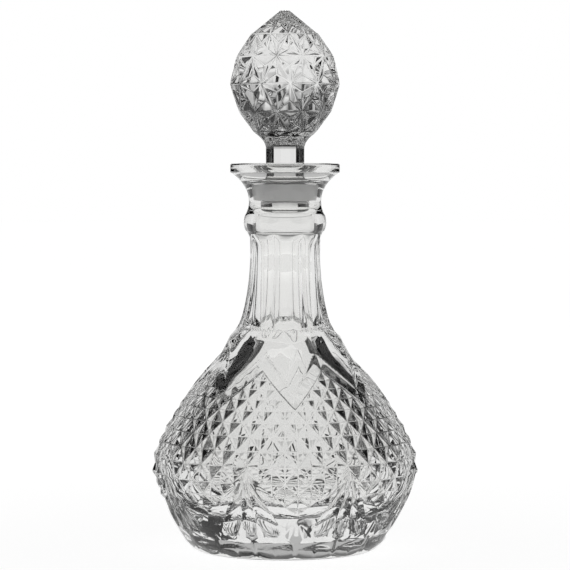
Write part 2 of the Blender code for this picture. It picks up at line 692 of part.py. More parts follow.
def plastic_material():
    material = bpy.data.materials.get("frosted_plastic") or bpy.data.materials.new("frosted_plastic")
    material.use_nodes = True
    shader = material.node_tree.nodes["Principled BSDF"]
    shader.inputs["Base Color"].default_value = (0.72, 0.72, 0.73, 1.0)
    shader.inputs["Roughness"].default_value = 0.5
    shader.inputs["Metallic"].default_value = 0.0
    return material


def finish_mesh(bm, name, finish, sharp_angle):
    bmesh.ops.remove_doubles(bm, verts=bm.verts, dist=1e-6)
    mesh = bpy.data.meshes.new(name)
    bm.to_mesh(mesh)
    bm.free()
    mesh.shade_smooth()
    mesh.set_sharp_from_angle(angle=radians(sharp_angle))
    mesh.materials.append(glass_material() if finish == "clear_glass" else plastic_material())
    item = bpy.data.objects.new(name, mesh)
    bpy.context.collection.objects.link(item)
    return item


def main():
    remove_all_objects()
    make_bottle()
    stopper = make_stopper()
    sleeve = make_sleeve()
    lift = bpy.data.objects.new("stopper_lift_axis", None)
    bpy.context.collection.objects.link(lift)
    stopper.parent = lift
    sleeve.parent = lift


main()
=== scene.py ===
"""Cut-glass wine decanter, dressed for a studio picture on a white ground.

The script is laid out as a Blender add-on: property groups hold the sizes and colours, one operator
makes each piece, one makes the studio, and a panel in the 3D view's sidebar lists them.
Metres, +Z up, origin at the middle of the base, one lattice panel facing -Y.
"""

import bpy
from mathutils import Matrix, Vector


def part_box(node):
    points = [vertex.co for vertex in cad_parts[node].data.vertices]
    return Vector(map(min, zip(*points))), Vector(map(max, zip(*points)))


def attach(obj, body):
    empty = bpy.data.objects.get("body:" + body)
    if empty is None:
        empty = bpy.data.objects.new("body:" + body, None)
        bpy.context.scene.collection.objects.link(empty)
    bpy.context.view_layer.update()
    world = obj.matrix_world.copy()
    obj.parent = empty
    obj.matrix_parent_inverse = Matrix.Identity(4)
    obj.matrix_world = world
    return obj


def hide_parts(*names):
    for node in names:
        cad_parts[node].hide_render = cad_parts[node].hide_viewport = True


bl_info = {
    "name": "Cut-glass wine decanter",
    "version": (1, 0, 0),
    "blender": (4, 5, 0),
    "location": "3D View > Sidebar > Decanter",
    "description": "Pressed-glass decanter with a solid stopper and a frosted sealing sleeve",
    "category": "Add Mesh",
}

from math import atan, atan2, cos, degrees, pi, radians, sin, sqrt

import bmesh
import bpy
from bpy.props import FloatProperty, FloatVectorProperty, IntProperty, PointerProperty
from bpy.types import Operator, Panel, PropertyGroup
from mathutils import Vector
from mathutils.geometry import delaunay_2d_cdt

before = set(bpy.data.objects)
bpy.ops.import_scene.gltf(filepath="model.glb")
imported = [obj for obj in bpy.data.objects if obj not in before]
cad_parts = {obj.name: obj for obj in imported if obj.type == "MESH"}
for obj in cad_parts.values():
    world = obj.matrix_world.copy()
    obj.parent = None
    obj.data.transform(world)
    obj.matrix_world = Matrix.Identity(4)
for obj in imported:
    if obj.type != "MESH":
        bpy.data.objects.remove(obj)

MM = 0.001

BOTTLE_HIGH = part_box("bottle")[1]
STOPPER_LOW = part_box("stopper")[0]
SLEEVE_LOW, SLEEVE_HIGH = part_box("stopper_sleeve")

# ---- bottle: the same outline as the solid model ----
PANELS = 8                      # lattice panels, fans and flutes round the bottle
COLUMNS = 8                     # half diamonds across one panel
HALF_COLUMNS = COLUMNS // 2
PANEL_ANGLE = 360.0 / PANELS
HALF_PANEL = PANEL_ANGLE / 2
STEP_ANGLE = PANEL_ANGLE / COLUMNS

BASE_RADIUS = 49.3 * MM
BASE_ROUND = 1.0 * MM
BELLY_RADIUS = BOTTLE_HIGH[0]
BELLY_HEIGHT = 42.5 * MM
SHOULDER_RADIUS = 29.9 * MM
SHOULDER_HEIGHT = 114.2 * MM
# each curve is given as shares: of the height, and of the way to the wider radius
HEEL_CURVE = ((0.0, 0.0), (0.101, 0.178), (0.264, 0.375), (0.47, 0.590), (0.73, 0.823), (1.0, 1.0))
SHOULDER_CURVE = ((0.0, 1.0), (0.11, 0.982), (0.225, 0.91), (0.43, 0.716), (0.65, 0.452),
                  (0.853, 0.165), (1.0, 0.0))

NECK_RADIUS = 19.5 * MM
NECK_WAIST_HEIGHT = 157.0 * MM
NECK_TOP_HEIGHT = 169.6 * MM
NECK_TOP_RADIUS = 19.8 * MM
FLUTE_END_RADIUS = 28.2 * MM
FLUTE_END_RISE = 3.1 * MM
FLUTE_END_SLOPE = 1.2 * MM
FLUTE_FADE = 4.0 * MM
FLUTE_POWER = 3.6               # the higher, the flatter the bottom of a flute
FLUTE_LEVELS = 30
FLUTE_CROWDING = 1.15           # levels stand closer together at the foot of the flutes
FLUTE_CURVE = ((0.0, 1.0), (0.11, 0.70), (0.217, 0.52), (0.43, 0.291), (0.696, 0.108), (1.0, 0.0))

RING_RADIUS = 22.2 * MM
RING_HEIGHT = 175.9 * MM
RING_BULGE = 0.85               # height of the ring's round, as a share of the room it has
RING_BULGE_END = 65             # degrees from level, where the round runs into the step
RING_STEP_RADIUS = 20.4 * MM
RING_STEP_HEIGHT = 182.0 * MM
THROAT_RADIUS = 19.45 * MM
THROAT_HEIGHT = 186.1 * MM
THROAT_BEND_SHARE = 0.7         # how far the step has narrowed to the throat at its bend
THROAT_BEND_DROP = 2.0 * MM
FLARE_POWER = 2.4
FLARE_STEPS = 12
LIP_RADIUS = 29.5 * MM
LIP_EDGE_STEP = 0.9 * MM
LIP_EDGE_HEIGHT = 202.3 * MM
RIM_HEIGHT = BOTTLE_HIGH[2]
RIM_ROUND = 1.1 * MM
LIP_WALL = 2.7 * MM
FUNNEL_POWER = 1.5              # curve of the funnel from the rim down to the seat

SEAT_TOP_HEIGHT = 198.2 * MM
SEAT_BOTTOM_HEIGHT = 187.4 * MM
SEAT_RADIUS = 18.7 * MM
SEAT_FOOT_RADIUS = 17.1 * MM
SEAT_RELIEF = (0.8, 0.5)        # bend under the seat: shares of the radius and of the drop to the ring's bore
RING_BORE_RADIUS = 17.7 * MM
NECK_BORE_RADIUS = 13.6 * MM
NECK_BORE_POWER = 2.6           # the higher, the sooner the hollow narrows to the bore
BODY_WALL = 14.0 * MM
SHOULDER_WALL = 15.0 * MM
FLOOR_HEIGHT = 24.0 * MM
FLOOR_CORNER = 19.0 * MM
FLOOR_CORNER_WIDTH = 24.0 * MM
HOLLOW_LEVELS = 36

ROWS_ABOVE = 9
UPPER_STEP = 0.1205             # height of a row along the wall, as a share of the radius there
LOWER_STEPS = (0.105, 0.085, 0.078)      # the same for the rows under the belly
NOTCH_ROW = len(LOWER_STEPS) + ROWS_ABOVE - HALF_COLUMNS
BAND_BEVEL = 1.3 * MM           # slopes on both sides of the plain band over the lattice
BAND_HEIGHT = 7.6 * MM
KITE_DROP = 0.9 * MM            # step down from the band to the kite
KITE_FLAT = 0.02                # how far the kite's middle is flattened, as a share of the radius
KITE_LEVELS = 12
FAN_HUB_DROP = 2.6 * MM
FAN_FOOT_HEIGHT = 13.4 * MM
RIB_ANGLE = 0.22                # foot of a rib, as a share of half a panel from its middle
SIDE_PETAL_ANGLE = 0.50         # the same for the end of a side petal
SIDE_PETAL_WIDTH = 0.27
MIDDLE_PETAL_WIDTH = 0.20
PETAL_STATIONS = (0.16, 0.25, 0.34, 0.43, 0.52, 0.61, 0.70, 0.78, 0.85, 0.91, 0.955, 0.985)
PETAL_ROUND_FROM = 0.70         # share of a petal's length where its round end begins
PETAL_DEEPENING = 2.5           # the higher, the nearer to the hub a petal is at its full depth
BOWL_DROP = 6.0 * MM
BOWL_ANGLE = 0.52
BOWL_DEPTH = 1.4 * MM
BOWL_DEEPEST = 0.45             # share of the way from the bowl's rim to the V edge
BOWL_EDGE_POWER = 1.1
BOWL_STEPS = 12
ARCH_HEIGHT = 11.2 * MM
ARCH_RISE = 2.2 * MM
ARCH_DEPTH = 1.3 * MM
FOOT_ARCH_HEIGHT = 4.3 * MM
FOOT_ARCH_RISE = 1.5 * MM
REST_RING_WIDTH = 7.5 * MM
REST_RING_EDGE = (0.4 * MM, 0.1 * MM)    # width and rise of the bevel on its inner edge
STAR_RAYS = 16
STAR_DEPTH = 1.8 * MM
STAR_CUT = 0.9 * MM
STAR_STATIONS = (0.85, 0.7, 0.55, 0.4, 0.25, 0.1, 0.0)
STAR_HEART = 0.3                # shares of the ring's inner radius: the cut deepens up to here,
STAR_EDGE = 0.86                # the star ends here,
STAR_END = 0.9                  # and its cut fades out towards here,
STAR_FADE = 0.2                 # over this width

# ---- stopper: the same rings as the solid model ----
HEAD_SIDES = 12
HEAD_TURN = pi / HEAD_SIDES     # each ring of the head is turned this far from the last
HEAD_HEIGHTS = (223.7 * MM, 235.1 * MM, 249.8 * MM, 264.6 * MM, 276.7 * MM)
HEAD_RADII = (16.8 * MM, 25.6 * MM, 30.2 * MM, 27.0 * MM, 18.7 * MM)
TIP_HEIGHT = 289.5 * MM
TIP_RADIUS = 2.4 * MM
STEM_RADIUS = 10.6 * MM
STEM_TOP_HEIGHT = 215.0 * MM
STEM_FOOT_HEIGHT = 204.5 * MM
STEM_STATIONS = (0.0, 0.33, 0.67, 1.0)
COVE_POWER = 2.2
COVE_STATIONS = (0.95, 0.85, 0.7, 0.55, 0.4, 0.25, 0.12)
PLUG_TOP_HEIGHT = 199.0 * MM
PLUG_SHOULDER = 2.2 * MM
PLUG_NECK = ((0.08, 0.4), (0.30, 0.75))  # from stem to plug: shares of the radius and of the drop
PLUG_TOP_SHARES = (0.75, 0.95)  # shares of the way out to the plug's radius: at its top and on its shoulder
PLUG_SHOULDER_BEND = 0.4
NOSE_CHAMFER = 1.2 * MM
NOSE_BEND = 0.35                # how far out and up the chamfer is rounded
FIT_GAP = 0.3 * MM              # between plug and sleeve, and between sleeve and seat
SLEEVE_TOP_WALL = 1.8 * MM
SLEEVE_BOTTOM_WALL = 1.5 * MM
SLEEVE_LIP = 1.0 * MM
SLEEVE_LIP_WIDTH = 1.9 * MM
SLEEVE_BLUNT = 0.3 * MM
SLEEVE_STEPS = 128

# ---- fire polish ----
POLISH_LIMIT = 0.62             # the rounded border takes up at most this share of a facet
CORNER_SINK = 0.55              # how far a corner sinks towards the middle of the borders round it

# ---- glass and frost, sizes in the real material ----
WAVE_LENGTH = 9.0 * MM
FROST_GRAIN = 0.4 * MM          # coarser than real frosting, so that it shows
FROST_HEIGHT = 0.02 * MM
FROST_DEPTH = 1.5 * MM          # how far light spreads in the sleeve

# ---- where the photograph was taken from ----
CAMERA_DISTANCE = 1.506
CAMERA_HEIGHT = 0.220
CAMERA_AZIMUTH = -5.6           # degrees round the decanter from the front, towards -X
CAMERA_TILT = 2.964             # degrees below level
IMAGE_WIDTH = 570               # pixels
FOCAL_LENGTH = 2800             # pixels
FIELD_OF_VIEW = 2 * atan(IMAGE_WIDTH / 2 / FOCAL_LENGTH)

# ---- studio ----
TABLE_RADIUS = 6.0
TABLE_GAP = 0.3 * MM            # below the base, so that glass and table do not share a plane
SHADE_REACH = (0.1, 0.5)        # from the decanter, m: the table's own glow rises to full white; nearer in it stays lower, a painted shade round the decanter's foot
TABLE_GLOW = 0.95               # glow near the decanter, a painted shade; the rest of the table's white is light that the decanter can shade
# share of a card's height, and its brightness there as a share of that at its foot
CARD_FALL = ((0.0, 1.0), (0.26, 1.0), (0.40, 0.60), (0.62, 0.52), (0.74, 0.14), (1.0, 0.08))


def linear(hex_colour):
    """An sRGB hex colour as linear red, green and blue."""
    parts = [int(hex_colour[i:i + 2], 16) / 255 for i in (1, 3, 5)]
    return tuple(c / 12.92 if c <= 0.04045 else ((c + 0.055) / 1.055) ** 2.4 for c in parts)


def mix(a, b, t):
    return a + (b - a) * t


def shares(count):
    """Even steps from 0 to 1."""
    return [i / count for i in range(count + 1)]


def smooth_curve(x, points):
    """Height of a smooth curve through the points (x, y), with x rising."""
    x = min(max(x, points[0][0]), points[-1][0])
    last = len(points) - 1
    i = 0
    while i < last - 1 and x > points[i + 1][0]:
        i += 1

    def slope(k):
        before = points[max(k - 1, 0)]
        after = points[min(k + 1, last)]
        return (after[1] - before[1]) / (after[0] - before[0])

    width = points[i + 1][0] - points[i][0]
    t = (x - points[i][0]) / width
    near = (2 * t**3 - 3 * t**2 + 1) * points[i][1] + (t**3 - 2 * t**2 + t) * width * slope(i)
    far = (3 * t**2 - 2 * t**3) * points[i + 1][1] + (t**3 - t**2) * width * slope(i + 1)
    return near + far


def place(radius, angle, height):
    """Point at an angle in degrees, counted from -Y towards +X."""
    turn = radians(angle)
    return (radius * sin(turn), -radius * cos(turn), height)


def angle_of(point):
    """Angle in degrees, counted as in place."""
    return degrees(atan2(point.x, -point.y))


# ---- settings ----

class BottleSettings(PropertyGroup):
    """Sizes of the bottle's cut pattern."""
    diamond_depth: FloatProperty(name="Diamond depth",
                                 description="From the points of the diamonds to the grooves",
                                 default=2.3 * MM, unit='LENGTH', precision=5)
    petal_depth: FloatProperty(name="Petal depth", description="Depth of the hollows in the fans",
                               default=2.1 * MM, unit='LENGTH', precision=5)
    flute_depth: FloatProperty(name="Flute depth", description="How far a neck flute lies behind its ridges",
                               default=1.75 * MM, unit='LENGTH', precision=5)
    edge_round: FloatProperty(name="Edge round",
                              description="Width of the fire-polished edge along each facet",
                              default=0.5 * MM, unit='LENGTH', precision=5)
    columns: IntProperty(name="Columns", description="Points between two lattice columns on the smooth parts",
                         default=3, min=1, max=6)


class StopperSettings(PropertyGroup):
    """Sizes of the stopper's star cutting."""
    star_sink: FloatProperty(name="Star sink",
                             description="Depth of a cell's sunken middle, as a share of its edge",
                             default=0.17, min=0.0, max=0.5)
    edge_round: FloatProperty(name="Edge round", description="Width of the polished edge along each facet",
                              default=0.8 * MM, unit='LENGTH', precision=5)


class GlassSettings(PropertyGroup):
    """Look of the pressed glass and of the frosted sleeve."""
    tint: FloatVectorProperty(name="Glass tint", description="Colour that light takes on in the glass",
                              subtype='COLOR', size=3, default=linear("#FCFCFB"))
    ior: FloatProperty(name="Refractive index", description="Refractive index of the glass", default=1.52)
    waviness: FloatProperty(name="Waviness", description="Height of the slow waves of pressed glass",
                            default=0.02 * MM, unit='LENGTH', precision=6)
    sleeve: FloatVectorProperty(name="Sleeve colour", description="Colour of the frosted sleeve",
                                subtype='COLOR', size=3, default=linear("#F8F8F8"))


class StudioSettings(PropertyGroup):
    """Ground and light of the studio."""
    ground: FloatVectorProperty(name="Ground", description="Colour of the floor and of the backdrop",
                                subtype='COLOR', size=3, default=linear("#FFFFFF"))
    table_light: FloatProperty(name="Table light",
                               description="Brightness of the white table seen in the glass",
                               default=0.80, min=0.0)
    room_light: FloatProperty(name="Room light", description="Brightness of the dark room seen in the glass",
                              default=0.008, min=0.0)
    card_distance: FloatProperty(name="Card distance", description="From the decanter to the lit white cards",
                                 default=1.2, unit='LENGTH')
    card_height: FloatProperty(name="Card height", description="Height of the lit white cards",
                               default=0.92, unit='LENGTH')
    card_reach: FloatProperty(name="Card reach",
                              description="Angle that one card takes up round the decanter",
                              default=radians(41), subtype='ANGLE')
    cards: IntProperty(name="Cards", description="Lit white cards round the decanter", default=4, min=1)
    card_light: FloatProperty(name="Card light", description="Brightness of a card at its foot",
                              default=0.80, min=0.0)


# ---- the bottle's outline ----

def crest(height):
    """Outer radius of the body on its crests, from the base to the shoulder ledge."""
    if height <= BELLY_HEIGHT:
        return mix(BASE_RADIUS, BELLY_RADIUS, smooth_curve(height / BELLY_HEIGHT, HEEL_CURVE))
    share = (height - BELLY_HEIGHT) / (SHOULDER_HEIGHT - BELLY_HEIGHT)
    return mix(SHOULDER_RADIUS, BELLY_RADIUS, smooth_curve(share, SHOULDER_CURVE))


def ridge_end():
    """Height where the ridges between the flutes end, at the panel's edges."""
    return SHOULDER_HEIGHT + FLUTE_END_RISE


def ridge(height):
    """Outer radius of the neck on the ridges between its flutes."""
    if height >= NECK_WAIST_HEIGHT:
        share = (height - NECK_WAIST_HEIGHT) / (NECK_TOP_HEIGHT - NECK_WAIST_HEIGHT)
        return mix(NECK_RADIUS, NECK_TOP_RADIUS, share)
    share = (height - ridge_end()) / (NECK_WAIST_HEIGHT - ridge_end())
    return mix(NECK_RADIUS, FLUTE_END_RADIUS, smooth_curve(share, FLUTE_CURVE))


def slope_of(outline, height):
    """How fast an outline's radius grows with height."""
    reach = BELLY_HEIGHT / 100
    return (outline(height + reach) - outline(height - reach)) / (2 * reach)


def inner_radius(height):
    """Radius of the hollow: the outline less the wall, measured square to the wall."""
    if height <= SHOULDER_HEIGHT:
        share = min(max((height - BELLY_HEIGHT) / (SHOULDER_HEIGHT - BELLY_HEIGHT), 0.0), 1.0)
        wall = mix(BODY_WALL, SHOULDER_WALL, share)
        radius = crest(height) - wall * sqrt(1 + slope_of(crest, height) ** 2)
        return max(radius, NECK_BORE_RADIUS)
    share = (height - SHOULDER_HEIGHT) / (NECK_WAIST_HEIGHT - SHOULDER_HEIGHT)
    start = inner_radius(SHOULDER_HEIGHT)
    return mix(start, NECK_BORE_RADIUS, min(1 - (1 - share) ** NECK_BORE_POWER, 1.0))


# ---- the bottle's cut pattern: one panel, drawn flat as angle and height ----

class PanelSketch:
    """Points and crease lines of one panel, from fan to fan, with a radius at each point."""

    def __init__(self):
        self.points = {}
        self.lines = []

    def point(self, angle, height, radius):
        key = (round(angle, 4), round(height / MM, 4))
        self.points.setdefault(key, radius)
        return key

    def crease(self, keys):
        self.lines += list(zip(keys, keys[1:]))

    def line(self, stops):
        """A crease through the points given as (angle, height, depth behind the crests)."""
        self.crease([self.point(angle, height, crest(height) - depth) for angle, height, depth in stops])

    def both_sides(self, stops):
        self.line(stops)
        self.line([(-angle, height, depth) for angle, height, depth in stops])

    def triangles(self):
        keys = sorted(self.points)
        index = {key: i for i, key in enumerate(keys)}
        width = radians(1) * BELLY_RADIUS / MM
        flat = [(angle * width, height) for angle, height in keys]
        edges = [(index[a], index[b]) for a, b in self.lines if a != b]
        found = delaunay_2d_cdt(flat, edges, [], 0, 1e-5)
        places = []
        for here, origins in zip(found[0], found[3]):
            if origins:
                angle, height = keys[origins[0]]
                radius = self.points[keys[origins[0]]]
            else:
                # two creases cross here
                angle, height = here[0] / width, here[1]
                radius = crest(height * MM)
            places.append((angle, height * MM, radius))
        return places, found[2]


def lattice_rows():
    """Heights of the lattice rows from the V tip up, stepped along the wall from the belly."""
    def next_row(height, share, way):
        run = share * crest(height)
        rise = slope_of(crest, height + way * run / 2)
        return height + way * run / sqrt(1 + rise**2)

    rows = [BELLY_HEIGHT]
    for share in LOWER_STEPS:
        rows.insert(0, next_row(rows[0], share, -1))
    for _ in range(ROWS_ABOVE):
        rows.append(next_row(rows[-1], UPPER_STEP, 1))
    return rows


def lattice_span(row):
    """First and last column, counted from the panel's middle, that a lattice row reaches."""
    return max(row - NOTCH_ROW, 0), min(row, HALF_COLUMNS)


def edge_height(angle, rows, tip_row):
    """Height of a lattice edge that runs from a row at the panel's middle up to the panel's sides."""
    column = min(abs(angle) / STEP_ANGLE, HALF_COLUMNS - 1e-9)
    row = tip_row + int(column)
    return mix(rows[row], rows[row + 1], column - int(column))


def groove_depth(height, depth):
    """Depth of a groove, which shrinks with the body's radius."""
    return depth * crest(height) / BELLY_RADIUS


def draw_lattice(sketch, rows, depth):
    """Diamonds whose grooves run along both diagonals, with a raised point in each."""
    for row, height in enumerate(rows):
        inner, outer = lattice_span(row)
        for column in range(inner, outer + 1):
            behind = groove_depth(height, depth) if (row + column) % 2 == 0 else 0.0
            for side in (-1, 1):
                sketch.point(side * column * STEP_ANGLE, height, crest(height) - behind)
    for row, height in enumerate(rows[:-1]):
        inner, outer = lattice_span(row)
        inner_up, outer_up = lattice_span(row + 1)
        above = rows[row + 1]
        for column in range(inner, outer + 1):
            for step in (-1, 1):
                if (row + column) % 2 == 0 and inner_up <= column + step <= outer_up:
                    sketch.both_sides([(column * STEP_ANGLE, height, groove_depth(height, depth)),
                                       ((column + step) * STEP_ANGLE, above, groove_depth(above, depth))])


def draw_fan(sketch, rows, groove, petal):
    """Half a fan on each side of the panel, and the bowl between them under the V edge."""
    edge = [(column * STEP_ANGLE, rows[column], groove_depth(rows[column], groove))
            for column in range(HALF_COLUMNS, -1, -1)]
    sketch.both_sides(edge)
    hub = edge[0][1] - FAN_HUB_DROP

    def rib(share):
        """Angle and height on the rib that runs from the hub to its foot."""
        return mix(1.0, RIB_ANGLE, share) * HALF_PANEL, mix(hub, FAN_FOOT_HEIGHT, share)

    meet = (1 - BOWL_ANGLE) / (1 - RIB_ANGLE)
    upper_rib = [(*rib(meet * share), 0.0) for share in shares(8)]
    lower_rib = [(*rib(mix(meet, 1.0, share)), 0.0) for share in shares(6)]
    sketch.both_sides(upper_rib)
    sketch.both_sides(lower_rib)

    bowl_top = upper_rib[-1][1]
    bowl_bottom = edge[-1][1] - BOWL_DROP
    rim = []
    hollow = []
    for share in reversed(shares(BOWL_STEPS)):
        angle = share * BOWL_ANGLE * HALF_PANEL
        height = mix(bowl_bottom, bowl_top, 1 - sqrt(1 - share**2))
        above = mix(edge[-1][1], edge[0][1], (angle / HALF_PANEL) ** BOWL_EDGE_POWER)
        rim.append((angle, height, 0.0))
        hollow.append((angle, mix(height, above, BOWL_DEEPEST), BOWL_DEPTH))
    sketch.both_sides(rim)
    sketch.both_sides(hollow)

    whole_petal = [i / 5 for i in range(-5, 6)]
    half_petal = [i / 4 for i in range(-4, 1)]
    draw_petal(sketch, hub, SIDE_PETAL_ANGLE, SIDE_PETAL_WIDTH, petal, whole_petal)
    draw_petal(sketch, hub, 1.0, MIDDLE_PETAL_WIDTH, petal, half_petal)


def draw_petal(sketch, hub, centre, width, deepest, across):
    """A hollow that widens from the hub and closes in a round end at the foot of the fan."""
    lines = [[] for _ in across]
    for share in PETAL_STATIONS + (1.0,):
        height = mix(hub, FAN_FOOT_HEIGHT, share)
        closing = max(share - PETAL_ROUND_FROM, 0.0) / (1 - PETAL_ROUND_FROM)
        spread = width * share * sqrt(1 - closing**2)
        for line, offset in zip(lines, across):
            angle = (mix(1.0, centre, share) + offset * spread) * HALF_PANEL
            depth = deepest * (1 - offset**2) * min(PETAL_DEEPENING * share, 1.0) * sqrt(1 - closing**2)
            line.append((angle, height, depth))
    for line in lines:
        sketch.both_sides(line)


def draw_base(sketch, angles):
    """Sixteen arched facets round the base, with a smaller arch under each."""
    def arch(angle, cusp, rise):
        return cusp + rise * sin(pi * angle / HALF_PANEL)

    for cusp, rise in ((ARCH_HEIGHT, ARCH_RISE), (FOOT_ARCH_HEIGHT, FOOT_ARCH_RISE)):
        sketch.both_sides([(angle, arch(angle, cusp, rise), 0.0) for angle in angles])
    sketch.both_sides([(angle, BASE_ROUND, 0.0) for angle in angles])
    sketch.both_sides([(angle, 0.0, BASE_ROUND) for angle in angles])
    for angle in (0.0, HALF_PANEL):
        sketch.both_sides([(angle, ARCH_HEIGHT, 0.0), (angle, FOOT_ARCH_HEIGHT, 0.0),
                           (angle, BASE_ROUND, 0.0), (angle, 0.0, BASE_ROUND)])
    for angle in angles[1:-1]:
        hollow = ARCH_DEPTH * sin(pi * angle / HALF_PANEL)
        low = arch(angle, FOOT_ARCH_HEIGHT, FOOT_ARCH_RISE)
        high = arch(angle, ARCH_HEIGHT, ARCH_RISE)
        for share in shares(4)[1:-1]:
            height = mix(low, high, share)
            depth = hollow * sin(pi * share)
            for side in (-1, 1):
                sketch.point(side * angle, height, crest(height) - depth)


def flute_radius(angle, height, depth):
    """Neck radius: sharp ridges at the panel's edges and a shallow, flat-bottomed hollow between them."""
    fade = max(min((NECK_TOP_HEIGHT - height) / FLUTE_FADE, 1.0), 0.0)
    hollow = 1 - abs(angle / HALF_PANEL) ** FLUTE_POWER
    return ridge(height) - depth * ridge(height) / NECK_RADIUS * hollow * fade


def draw_shoulder(sketch, rows, angles, depth):
    """A plain band over the notch, the kite above it, the ledge where the flutes end, and the flutes."""
    band_foot = []
    band_head = []
    edge = []
    ledge = []
    for angle in angles:
        notch = edge_height(angle, rows, NOTCH_ROW)
        for creases, above in ((band_foot, BAND_BEVEL), (band_head, BAND_HEIGHT)):
            creases.append(sketch.point(angle, notch + above, crest(notch + above)))
        low = notch + BAND_HEIGHT + BAND_BEVEL
        edge.append(sketch.point(angle, low, crest(low) - KITE_DROP))
        flat = KITE_FLAT * cos(pi * angle / PANEL_ANGLE)
        for share in shares(KITE_LEVELS)[1:-1]:
            height = mix(low, SHOULDER_HEIGHT, share)
            sunk = KITE_DROP * (1 - share) + crest(height) * flat * sin(pi * share)
            sketch.point(angle, height, crest(height) - sunk)
        share = (angle / HALF_PANEL) ** 2
        end = SHOULDER_HEIGHT + FLUTE_END_RISE * share
        ledge.append(sketch.point(angle, end, mix(SHOULDER_RADIUS, FLUTE_END_RADIUS, share)))
        foot = ridge_end() + FLUTE_END_SLOPE
        for share in shares(FLUTE_LEVELS):
            height = mix(foot, NECK_TOP_HEIGHT, share**FLUTE_CROWDING)
            sketch.point(angle, height, flute_radius(angle, height, depth))
    for creases in (band_foot, band_head, edge, ledge):
        sketch.crease(creases)


# ---- mesh tools ----

def only(piece):
    """Select this object alone and make it active."""
    bpy.ops.object.select_all(action='DESELECT')
    piece.select_set(True)
    bpy.context.view_layer.objects.active = piece


def new_piece(name, places, edges=(), faces=()):
    """A mesh object of these parts, selected alone."""
    mesh = bpy.data.meshes.new(name)
    mesh.from_pydata(places, edges, faces)
    piece = bpy.data.objects.new(name, mesh)
    bpy.context.collection.objects.link(piece)
    only(piece)
    return piece


def turned(name, profile, steps):
    """A surface of revolution through (radius, height) pairs."""
    places = [(0.0, -radius, height) for radius, height in profile]
    piece = new_piece(name, places, [(i, i + 1) for i in range(len(places) - 1)])
    bpy.ops.object.mode_set(mode='EDIT')
    bpy.ops.mesh.select_all(action='SELECT')
    bpy.ops.mesh.spin(steps=steps, angle=2 * pi, center=(0, 0, 0), axis=(0, 0, 1))
    bpy.ops.object.mode_set(mode='OBJECT')
    return piece


def joined(pieces, name):
    """One object of several, with shared edges merged and faces pointing outwards."""
    bpy.ops.object.select_all(action='DESELECT')
    for piece in pieces:
        piece.select_set(True)
    bpy.context.view_layer.objects.active = pieces[0]
    bpy.ops.object.join()
    whole = bpy.context.object
    whole.name = name
    whole.data.name = name
    bpy.ops.object.mode_set(mode='EDIT')
    bpy.ops.mesh.select_all(action='SELECT')
    bpy.ops.mesh.remove_doubles(threshold=0.002 * MM)
    bpy.ops.mesh.normals_make_consistent(inside=False)
    bpy.ops.object.mode_set(mode='OBJECT')
    return whole


def fire_polish(piece, chosen, width):
    """Give each chosen facet a narrow rounded border, as the flame leaves on pressed glass.

    Each triangle is drawn in towards its middle by the width, and the old corners sink to the
    mean of the new ones round them, so edges are blunted and facets stay flat.
    """
    bm = bmesh.new()
    bm.from_mesh(piece.data)
    facets = [face for face in bm.faces if len(face.verts) == 3 and chosen(face)]
    around = {}
    for face in facets:
        corners = list(face.verts)
        sides = [(corners[(i + 1) % 3].co - corners[(i + 2) % 3].co).length for i in range(3)]
        rim = sum(sides)
        area = face.calc_area()
        if area <= 0 or rim <= 0:
            continue
        middle = sum((corner.co * side for corner, side in zip(corners, sides)), Vector()) / rim
        share = min(width * rim / (2 * area), POLISH_LIMIT)
        inner = [bm.verts.new(corner.co.lerp(middle, share)) for corner in corners]
        bm.faces.new(inner)
        for i in range(3):
            j = (i + 1) % 3
            bm.faces.new([corners[i], corners[j], inner[j], inner[i]])
            around.setdefault(corners[i], []).append(inner[i].co)
    bmesh.ops.delete(bm, geom=facets, context='FACES_ONLY')
    for corner, places in around.items():
        mean = sum(places, Vector()) / len(places)
        corner.co = corner.co.lerp(mean, CORNER_SINK)
    bm.to_mesh(piece.data)
    bm.free()


def soften(piece):
    """Shade smooth, with each facet's own slope holding over its flat part."""
    only(piece)
    bpy.ops.object.shade_smooth()
    weighted = piece.modifiers.new("Weighted Normal", 'WEIGHTED_NORMAL')
    weighted.mode = 'FACE_AREA'
    weighted.weight = 100
    bpy.ops.object.modifier_apply(modifier=weighted.name)


def finished(piece, body, node, material):
    """Give the piece its material, hang it on the body it rides on, and hide the solid part it stands for."""
    piece.data.materials.clear()
    piece.data.materials.append(material)
    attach(piece, body)
    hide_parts(node)


# ---- turned profiles ----

def arc(centre_radius, centre_height, radius, height, start, end, steps):
    """Points on an ellipse in the turned profile, by angle in degrees from outwards to up."""
    points = []
    for share in shares(steps):
        turn = radians(mix(start, end, share))
        points.append((centre_radius + radius * cos(turn), centre_height + height * sin(turn)))
    return points


